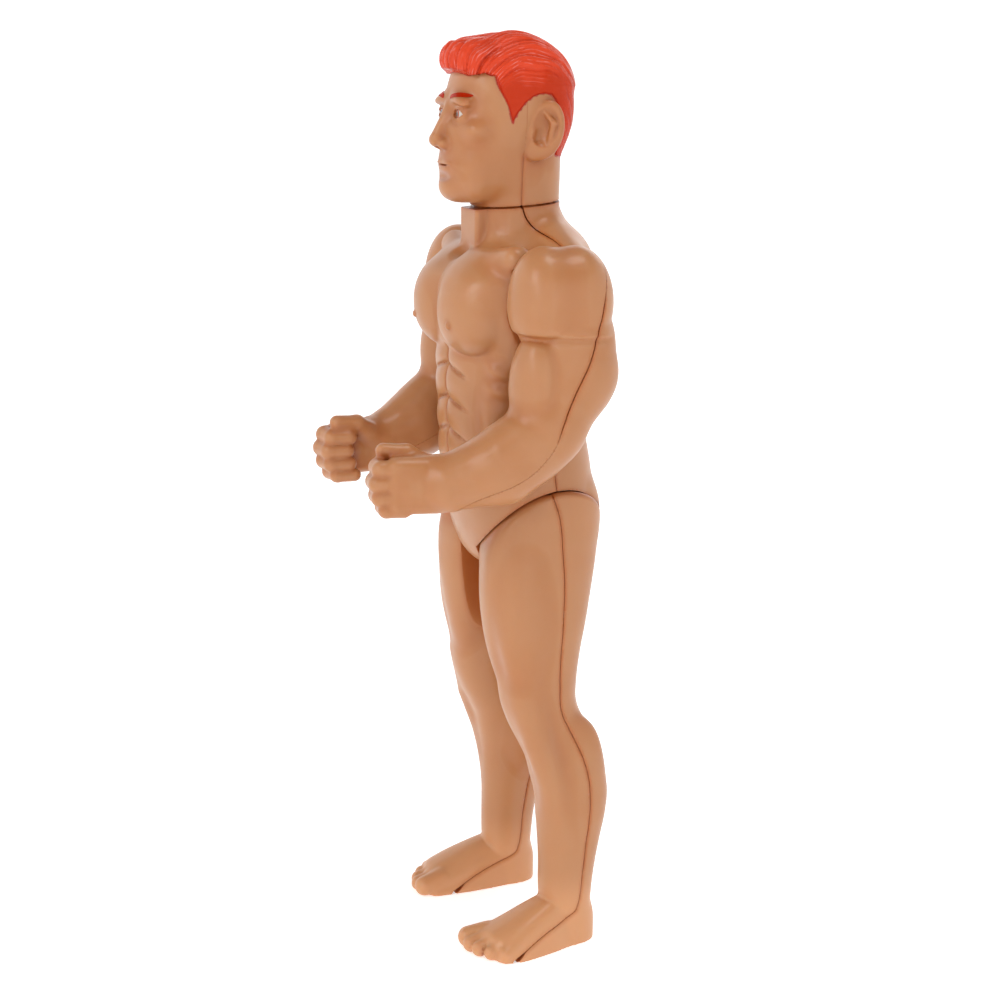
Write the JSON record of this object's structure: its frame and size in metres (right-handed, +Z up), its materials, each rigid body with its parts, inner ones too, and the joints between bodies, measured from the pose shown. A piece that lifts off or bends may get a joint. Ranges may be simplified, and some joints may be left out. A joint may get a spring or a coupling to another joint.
{
  "type": "wind-up figure",
  "caption": "Standing moulded plastic figure with swinging arms and legs, a turning head and a spring motor wound by a knob on the back.",
  "frame": {"origin": "centre of the figure's box, on the surface it stands on", "axes": "+Z up through the head, -Y the way the figure faces, +X its left side"},
  "size_m": [0.053, 0.0452, 0.1499],
  "materials": {
    "skin_plastic": "moulded plastic, satin to gloss, tan",
    "hair_paint": "glossy orange-red paint over moulded plastic",
    "eye_paint": "glossy white paint",
    "steel": "stamped and turned steel, lightly oiled",
    "spring_steel": "blued spring steel strip",
    "brass": "stamped brass",
    "white_nylon": "moulded nylon, off-white"
  },
  "bodies": {
    "trunk": {"torso_front_shell": "skin_plastic", "torso_back_shell": "skin_plastic", "neck_post": "white_nylon", "hip_pin": "steel", "mainspring": "spring_steel", "motor_front_plate": "steel", "motor_back_plate": "steel", "motor_pillar_1": "steel", "motor_pillar_2": "steel", "motor_pillar_3": "steel", "motor_screw_1": "brass", "motor_screw_2": "brass", "motor_screw_3": "brass"},
    "head": {"head_front_shell": "skin_plastic", "head_back_shell": "hair_paint"},
    "arms": {"arm_left_front_shell": "skin_plastic", "arm_left_back_shell": "skin_plastic", "arm_right_front_shell": "skin_plastic", "arm_right_back_shell": "skin_plastic", "arm_axle": "steel", "arm_rocker": "white_nylon", "arm_collar_left": "steel", "arm_collar_right": "steel"},
    "leg_left": {"leg_left_front_shell": "skin_plastic", "leg_left_back_shell": "skin_plastic", "hip_collar_left": "steel"},
    "leg_right": {"leg_right_front_shell": "skin_plastic", "leg_right_back_shell": "skin_plastic", "hip_collar_right": "steel"},
    "winder": {"wind_knob": "white_nylon", "winding_arbor": "steel", "ratchet_wheel": "steel"},
    "great": {"great_wheel": "brass"},
    "click_lever": {"click": "steel"},
    "second": {"second_wheel": "brass", "crank_disc": "white_nylon"},
    "escape": {"escape_wheel": "brass"},
    "pallet": {"governor_pallet": "steel"}
  },
  "joints": [
    {"name": "wind_turn", "type": "hinge", "parent": "trunk", "child": "winder", "pos_m": [0, 0.00625, 0.0955], "axis": [0, 1, 0], "continuous": true},
    {"name": "arm_swing", "type": "hinge", "parent": "trunk", "child": "arms", "pos_m": [0, 0.00675, 0.108], "axis": [1, 0, 0], "range_deg": [-8, 8]},
    {"name": "head_turn", "type": "hinge", "parent": "trunk", "child": "head", "pos_m": [0, 0.00545, 0.12429], "axis": [0, -0.0748, 0.9972], "range_deg": [-75, 75]},
    {"name": "leg_swing_left", "type": "hinge", "parent": "trunk", "child": "leg_left", "pos_m": [0, 0.00925, 0.065], "axis": [1, 0, 0], "range_deg": [-30, 40]},
    {"name": "leg_swing_right", "type": "hinge", "parent": "trunk", "child": "leg_right", "pos_m": [0, 0.00925, 0.065], "axis": [1, 0, 0], "range_deg": [-30, 40]},
    {"name": "great_turn", "type": "hinge", "parent": "trunk", "child": "great", "pos_m": [0, 0.00625, 0.0955], "axis": [0, 1, 0], "continuous": true},
    {"name": "second_turn", "type": "hinge", "parent": "trunk", "child": "second", "pos_m": [0.0052, 0.00625, 0.10404], "axis": [0, 1, 0], "continuous": true},
    {"name": "escape_turn", "type": "hinge", "parent": "trunk", "child": "escape", "pos_m": [-0.00227, 0.00625, 0.10469], "axis": [0, 1, 0], "continuous": true},
    {"name": "pallet_rock", "type": "hinge", "parent": "trunk", "child": "pallet", "pos_m": [-0.00227, 0.01125, 0.11009], "axis": [0, 1, 0], "range_deg": [-6, 6]},
    {"name": "click_lift", "type": "hinge", "parent": "great", "child": "click_lever", "pos_m": [-0.0056, 0.00225, 0.0939], "axis": [0, 1, 0], "range_deg": [0, 12]}
  ],
  "couplings": [
    {"joint": "great_turn", "follows": "wind_turn", "ratio": 1},
    {"joint": "second_turn", "follows": "wind_turn", "ratio": -3},
    {"joint": "escape_turn", "follows": "wind_turn", "ratio": 6}
  ]
}
